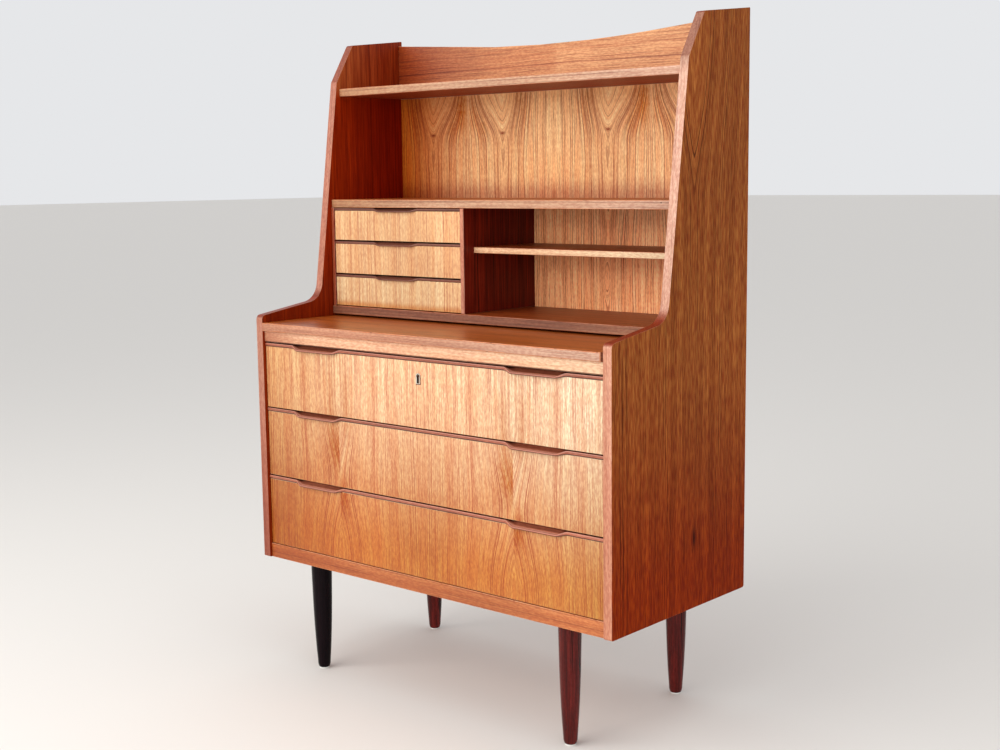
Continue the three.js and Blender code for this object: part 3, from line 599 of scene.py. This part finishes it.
def refined(node, looks, choose=None, edge=SOFT_EDGE, merge_flats=True, recess=0.0):
    """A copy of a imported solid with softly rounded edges; choose(normal, centre) picks each face's look.
    A recess moves its rear face forwards."""
    bm = bmesh.new()
    bm.from_mesh(frame["nodes"][node].data)
    bmesh.ops.remove_doubles(bm, verts=bm.verts, dist=WELD)
    rear = max(vert.co.y for vert in bm.verts)
    for vert in bm.verts:
        if vert.co.y > rear - 0.1 * MM:
            vert.co.y -= recess
    if merge_flats:
        bmesh.ops.dissolve_limit(bm, angle_limit=FLAT_ANGLE, verts=bm.verts, edges=bm.edges)
    bm.normal_update()
    for face in bm.faces:
        face.material_index = choose(face.normal, face.calc_center_median()) if choose else 0
        face.smooth = True
    if edge:
        corners = [e for e in bm.edges if e.is_manifold and e.calc_face_angle() > SHARP_ANGLE]
        bmesh.ops.bevel(bm, geom=corners, offset=edge, segments=3, profile=0.5, affect="EDGES",
                        clamp_overlap=True)
    for face in bm.faces:
        face.smooth = True
    mesh = bpy.data.meshes.new(f"{node}_fine")
    bm.to_mesh(mesh)
    bm.free()
    piece = new_object(f"{node}_fine", mesh, looks)
    keep_flats_flat(piece)
    return adopt(piece, node)


def faces_front(normal):
    return normal.y < -0.6


def side_faces(inner_sign):
    """Veneer on the two broad faces, a solid lipping round the edge."""
    def choose(normal, centre):
        if abs(normal.x) > 0.7:
            return 1 if normal.x * inner_sign > 0 else 0
        return 3 if abs(normal.z) > 0.75 else 2
    return choose


def inside_keyhole(normal, centre):
    """The walls of the keyhole are in the dark, the plate round it is bright."""
    return int(abs(normal.y) < 0.6 and abs(centre.x) < ESCUTCHEON["half"] - 2 * ESCUTCHEON["border"])


refined("side_left", ["side", "side_inner", "edge_up", "edge_back"], side_faces(1))
refined("side_right", ["side", "side_inner", "edge_right", "edge_back"], side_faces(-1))

for board, top, lipping in (("hutch_floor", "flat_shaded", "edge_dusky"), ("middle_shelf", "flat", "edge"),
                            ("top_shelf", "flat", "edge"), ("cubby_shelf", "flat_shaded", "edge_cubby")):
    refined(board, [top, lipping, "under"],
            lambda normal, centre: 2 if normal.z < -0.7 else int(faces_front(normal)))
refined("writing_slab", ["slab", "edge_slab", "edge_back"],
        lambda normal, centre: 1 if faces_front(normal) else 2 if abs(normal.x) > 0.7 else 0, edge=1.6 * MM)
refined("upper_rail", ["rail"])
refined("plinth_rail", ["low_rail"])
refined("crest_rail", ["crest"])
refined("drawer_cheek", ["divider", "edge_cheek"], lambda normal, centre: int(faces_front(normal)))
refined("divider", ["divider", "edge_up"], lambda normal, centre: int(faces_front(normal)))
refined("back_panel_upper", ["back", "rear_upper"], lambda normal, centre: int(normal.y > 0.5),
        edge=0.3 * MM, recess=SCREW["height"] * MM)
refined("back_panel_lower", ["rear_lower"], edge=0.3 * MM, recess=SCREW["height"] * MM)
refined("bottom_board", ["underneath"], edge=0.5 * MM)
refined("slab_bed", ["beech_wide"], edge=0.3 * MM)

for level in ("top", "middle", "bottom"):
    drawer = f"{level}_drawer"
    refined(f"{drawer}_front", ["front", "edge_up"],
            lambda normal, centre: int(not faces_front(normal)), merge_flats=level != "top")
    refined(f"small_{drawer}_front", ["small_front", "edge_up"],
            lambda normal, centre: int(not faces_front(normal)), edge=0.7 * MM)
    refined(f"small_{drawer}_tray", ["beech"], edge=0.5 * MM)
    for side in ("left", "right"):
        refined(f"{drawer}_side_{side}", ["beech"], edge=0.8 * MM)
        refined(f"{level}_runner_{side}", ["beech"], edge=0.5 * MM)
    refined(f"{drawer}_back", ["beech_wide"], edge=0.8 * MM)
    refined(f"{drawer}_floor", ["beech_wide"], edge=0.3 * MM)

refined("escutcheon", ["escutcheon", "keyhole"], inside_keyhole, edge=0.25 * MM, merge_flats=False)
# The lock case's face behind the keyhole takes the near-black keyhole look: painted shade.
refined("lock_case", ["steel", "keyhole"], lambda normal, centre: int(faces_front(normal)), edge=0.3 * MM,
        merge_flats=False)
refined("lock_bolt", ["steel"], edge=0.4 * MM)


# ---------------------------------------------------------------- carved pull strips
def bezier(points, t):
    p0, p1, p2, p3 = (Vector(p) for p in points)
    u = 1 - t
    return u ** 3 * p0 + 3 * u * u * t * p1 + 3 * u * t * t * p2 + t ** 3 * p3


def arc(centre, radius, start, end, steps):
    angles = [math.radians(start + (end - start) * i / steps) for i in range(steps + 1)]
    return [Vector((centre[0] + radius * math.cos(a), centre[1] + radius * math.sin(a))) for a in angles]


def pull_section(pull, depth, share):
    """Outline in Y and Z of a strip, from the drawer's face and the strip's underside, in mm. It goes
    from a flat lip at share 0 to a carved nose with a finger hollow behind it at share 1."""
    def between(lip, nose):
        return lip + (nose - lip) * share

    front = -between(pull["proud"], pull["reach"])
    low = between(0.0, -pull["drop"])
    top = between(pull["lip"], pull["nose"] - pull["drop"])
    round_nose = pull["proud"] * 0.8
    back = pull["hollow_back"]
    hollow = [
        (front + round_nose, top),
        (between(front * 0.7, -pull["reach"] * 0.35), between(pull["lip"], -pull["drop"] * 0.62)),
        (between(back * 0.6, back * 0.45), between(pull["lip"], pull["lip"] * 0.30)),
        (back, pull["lip"]),
    ]
    outline = [Vector((depth, 0.0)), Vector((-0.3, 0.0)), Vector((-0.3 - 0.1 * (1 - share), low * 0.55))]
    outline += [Vector((front + round_nose + p.x * round_nose, (low + top) / 2 + p.y * (top - low) / 2))
                for p in arc((0.0, 0.0), 1.0, 270, 90, 12)]
    outline += [bezier(hollow, i / 12) for i in range(1, 13)]
    outline.append(Vector((depth, pull["lip"])))
    return outline


LARGE_PULL = {"lip": 6.6, "proud": 1.5, "reach": 8.5, "drop": 3.8, "nose": 2.9, "hollow_back": 14.0,
              "flat": 48.0, "blend": 24.0, "centres": (-283.5, 283.5)}
SMALL_PULL = {"lip": 5.0, "proud": 1.0, "reach": 6.5, "drop": 2.6, "nose": 2.8, "hollow_back": 8.5,
              "flat": 43.5, "blend": 22.0, "centres": (0.0,)}
BLEND_STEPS = 18
PLAY = 0.3 * MM


def pull_strip(node, pull, look, pocket_for=None):
    """Skins the strip through sections along its drawer's width. A pocket in its rear makes room for
    another node."""
    low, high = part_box(node)
    middle = (low.x + high.x) / 2
    face = low.y + pull["reach"] * MM
    underside = high.z - pull["lip"] * MM
    depth = (high.y - face) / MM
    stations = [(low.x, 0.0, depth)]
    for centre in pull["centres"]:
        for end in (-1, 1):
            for i in range(BLEND_STEPS + 1):
                inward = i / BLEND_STEPS if end < 0 else 1 - i / BLEND_STEPS
                x = middle + (centre + end * (pull["flat"] + pull["blend"] * (1 - inward))) * MM
                stations.append((x, inward * inward * (3 - 2 * inward), depth))
    stations.append((high.x, 0.0, depth))
    if pocket_for:
        inner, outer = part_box(pocket_for)
        left, right = inner.x - PLAY, outer.x + PLAY
        shallow = (inner.y - PLAY - face) / MM
        at = next(i for i, station in enumerate(stations) if station[0] > left)
        stations[at:at] = [(left, 0.0, depth), (left, 0.0, shallow),
                           (right, 0.0, shallow), (right, 0.0, depth)]
    bm = bmesh.new()
    rings = []
    for x, share, reach_back in stations:
        section = pull_section(pull, reach_back, share)
        rings.append([bm.verts.new((x, face + min(p[0], reach_back) * MM, underside + p[1] * MM))
                      for p in section])
    for first, second in zip(rings, rings[1:]):
        for j in range(len(first)):
            k = (j + 1) % len(first)
            bm.faces.new((first[j], second[j], second[k], first[k]))
    bm.faces.new(rings[0])
    bm.faces.new(reversed(rings[-1]))
    bmesh.ops.dissolve_degenerate(bm, dist=WELD, edges=bm.edges)
    bmesh.ops.recalc_face_normals(bm, faces=bm.faces)
    for face_ in bm.faces:
        face_.smooth = True
    mesh = bpy.data.meshes.new(f"{node}_fine")
    bm.to_mesh(mesh)
    bm.free()
    mesh.set_sharp_from_angle(angle=CREASE)
    return adopt(new_object(f"{node}_fine", mesh, [look]), node)


for level, lock in (("top", "lock_case"), ("middle", None), ("bottom", None)):
    pull_strip(f"{level}_drawer_pull", LARGE_PULL, "pull", lock)
    pull_strip(f"small_{level}_drawer_pull", SMALL_PULL, "dark_pull")


# ---------------------------------------------------------------- screws in the back panels
def prism(bm, outline, front, rear):
    """Adds an outline of (x, z) points as a solid between two levels of Y."""
    rings = [[bm.verts.new((x, y, z)) for x, z in outline] for y in (front, rear)]
    for ring in rings:
        bm.faces.new(ring)
    for i in range(len(outline)):
        j = (i + 1) % len(outline)
        bm.faces.new((rings[0][i], rings[0][j], rings[1][j], rings[1][i]))


def screw_places(low, high):
    """Points in X and Z round the rim of a panel, evenly spaced and a little inside its edges."""
    inset = SCREW["inset"] * MM
    places = []
    rows = ((low.x, high.x, (low.z, high.z), False), (low.z, high.z, (low.x, high.x), True))
    for start, end, fixed, upright in rows:
        length = end - start - 2 * inset
        count = round(length / (SCREW["spacing"] * MM))
        for i in range(1 if upright else 0, count if upright else count + 1):
            along = start + inset + length * i / count
            for across in (fixed[0] + inset, fixed[1] - inset):
                places.append((across, along) if upright else (along, across))
    return places


def screw_heads(node):
    """Slotted heads on the back of a panel, as one piece; each slot points its own way."""
    low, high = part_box(node)
    base, top = high.y - (SCREW["height"] - SCREW["base"]) * MM, high.y
    bm = bmesh.new()
    for index, (x, z) in enumerate(screw_places(low, high)):
        turn = math.radians(SCREW_TURNS[1] * index + SCREW_TURNS[0])
        rim = arc((0.0, 0.0), SCREW["radius"] * MM, 0, 345, 23)
        prism(bm, [(x + p.x, z + p.y) for p in rim], high.y - SCREW["height"] * MM, base)
        gap = math.degrees(math.asin(SCREW["slot"] / SCREW["radius"]))
        for half in (0, 180):
            outline = arc((0.0, 0.0), SCREW["radius"] * 0.94 * MM, half + gap, half + 180 - gap, 12)
            outline = [Matrix.Rotation(turn, 2) @ p for p in outline]
            prism(bm, [(x + p.x, z + p.y) for p in outline], base, top)
    bmesh.ops.recalc_face_normals(bm, faces=bm.faces)
    mesh = bpy.data.meshes.new(f"{node}_screws")
    bm.to_mesh(mesh)
    bm.free()
    piece = new_object(f"{node}_screws", mesh, ["steel"])
    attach(piece, body_of_node[node])


screw_heads("back_panel_upper")
screw_heads("back_panel_lower")


# ---------------------------------------------------------------- turned legs and glides
def lathe(name, profile, centre, look, turns=56):
    """Turns a profile of (radius, height) about an upright axis; the ends close on the axis."""
    bm = bmesh.new()
    rings = []
    for radius, z in profile:
        if radius == 0:
            rings.append([bm.verts.new((centre[0], centre[1], z))])
            continue
        angles = [2 * math.pi * i / turns for i in range(turns)]
        rings.append([bm.verts.new((centre[0] + radius * math.cos(a), centre[1] + radius * math.sin(a), z))
                      for a in angles])
    for lower, upper in zip(rings, rings[1:]):
        for i in range(turns):
            j = (i + 1) % turns
            corners = [lower[i % len(lower)], lower[j % len(lower)],
                       upper[j % len(upper)], upper[i % len(upper)]]
            bm.faces.new(list(dict.fromkeys(corners)))
    bmesh.ops.recalc_face_normals(bm, faces=bm.faces)
    for face in bm.faces:
        face.smooth = True
    mesh = bpy.data.meshes.new(name)
    bm.to_mesh(mesh)
    bm.free()
    mesh.set_sharp_from_angle(angle=CREASE)
    return new_object(name, mesh, [look])


# The foot's rounded corner as (radius, height) in mm, and the leg above it as (share of height, radius).
LEG_FOOT = ((0.0, 0.0), (9.6, 0.0), (10.9, 0.63), (11.6, 1.8))
LEG_ROWS = 40
LEG_WAIST = ((0.0, 12.3), (0.18, 15.4), (0.36, 17.6), (0.57, 19.4), (1.0, 21.5))


def leg_radius(share):
    """Radius in mm of a leg at a share of its height: a full, convex taper."""
    for (s0, r0), (s1, r1) in zip(LEG_WAIST, LEG_WAIST[1:]):
        if share <= s1:
            return r0 + (r1 - r0) * (share - s0) / (s1 - s0)
    return LEG_WAIST[-1][1]


def smooth_leg_radius(share, reach=0.09):
    samples = [leg_radius(min(1.0, max(0.0, share + reach * (i / 4 - 1)))) for i in range(9)]
    return sum(samples) / len(samples)


for corner in ("front_left", "front_right", "back_left", "back_right"):
    low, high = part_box(f"leg_{corner}")
    centre = ((low.x + high.x) / 2, (low.y + high.y) / 2)
    profile = [(radius * MM, low.z + z * MM) for radius, z in LEG_FOOT]
    sole = profile[-1][1]
    for i in range(1, LEG_ROWS + 1):
        share = i / LEG_ROWS
        profile.append((smooth_leg_radius(share) * MM, sole + (high.z - sole) * share))
    profile.append((0.0, high.z))
    # The front left leg takes the near-black copy: painted shade.
    look = "leg_shaded" if corner == "front_left" else "leg"
    adopt(lathe(f"leg_{corner}_fine", profile, centre, look), f"leg_{corner}")

    low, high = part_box(f"glide_{corner}")
    radius, top = (high.x - low.x) / 2, high.z
    profile = [(0.0, low.z), (radius * 0.86, low.z), (radius * 0.96, low.z + 0.4 * MM),
               (radius, low.z + 1.1 * MM), (radius, top - 0.3 * MM), (radius * 0.97, top), (0.0, top)]
    adopt(lathe(f"glide_{corner}_fine", profile, centre, "nylon"), f"glide_{corner}")


# ---------------------------------------------------------------- stage, light and camera
def stage_floor():
    mesh = bpy.data.meshes.new("floor")
    half = 60.0
    corners = [(-half, -half, 0), (half, -half, 0), (half, half, 0), (-half, half, 0)]
    mesh.from_pydata(corners, [], [(0, 1, 2, 3)])
    floor = bpy.data.objects.new("floor", mesh)
    mesh.materials.append(Graph("floor_pale").finish((0.78, 0.75, 0.71), 0.75))
    bpy.context.scene.collection.objects.link(floor)


def soft_light(name, position, target, size, power, colour=(1.0, 1.0, 1.0)):
    data = bpy.data.lights.new(name, "AREA")
    data.shape = "RECTANGLE"
    data.size, data.size_y = size
    data.energy = power
    data.color = colour
    light = bpy.data.objects.new(name, data)
    light.location = position
    light.rotation_euler = (Vector(target) - Vector(position)).to_track_quat("-Z", "Y").to_euler()
    bpy.context.scene.collection.objects.link(light)


stage_floor()
DESK_MIDDLE = (0.0, 0.0, 0.7)
soft_light("key", (-1.4, -3.2, 2.4), (0.0, 0.0, 1.05), (3.0, 2.0), 74.0, (1.0, 0.975, 0.94))
soft_light("front_fill", (0.5, -2.9, 1.15), (0.0, 0.0, 0.95), (1.6, 1.2), 26.0, (1.0, 0.98, 0.95))
soft_light("top_fill", (0.3, -0.8, 3.4), DESK_MIDDLE, (3.0, 3.0), 12.0)
soft_light("right_fill", (3.2, -0.6, 1.4), DESK_MIDDLE, (2.0, 2.0), 4.0)

world = bpy.data.worlds.new("studio")
world.use_nodes = True
background = world.node_tree.nodes["Background"]
background.inputs["Color"].default_value = (0.93, 0.94, 0.96, 1.0)
background.inputs["Strength"].default_value = 0.85
bpy.context.scene.world = world
bpy.context.scene.view_settings.view_transform = "Standard"


def aim_camera(position, yaw, pitch, roll, lens):
    """Yaw turns the view from +Y towards -X, pitch lifts it and roll tips it, in degrees."""
    yaw, pitch, roll = (math.radians(v) for v in (yaw, pitch, roll))
    forward = Vector((-math.sin(yaw) * math.cos(pitch), math.cos(yaw) * math.cos(pitch), math.sin(pitch)))
    level = Vector((math.cos(yaw), math.sin(yaw), 0.0))
    upright = level.cross(forward)
    right = math.cos(roll) * level + math.sin(roll) * upright
    up = math.cos(roll) * upright - math.sin(roll) * level
    data = bpy.data.cameras.new("camera")
    data.lens = lens
    data.sensor_width = 36.0
    camera = bpy.data.objects.new("camera", data)
    camera.matrix_world = Matrix.Translation(position) @ Matrix((right, up, -forward)).transposed().to_4x4()
    bpy.context.scene.collection.objects.link(camera)
    bpy.context.scene.camera = camera


aim_camera((1.8599, -2.1121, 1.0155), yaw=40.97, pitch=-7.843, roll=-0.692, lens=51.63)
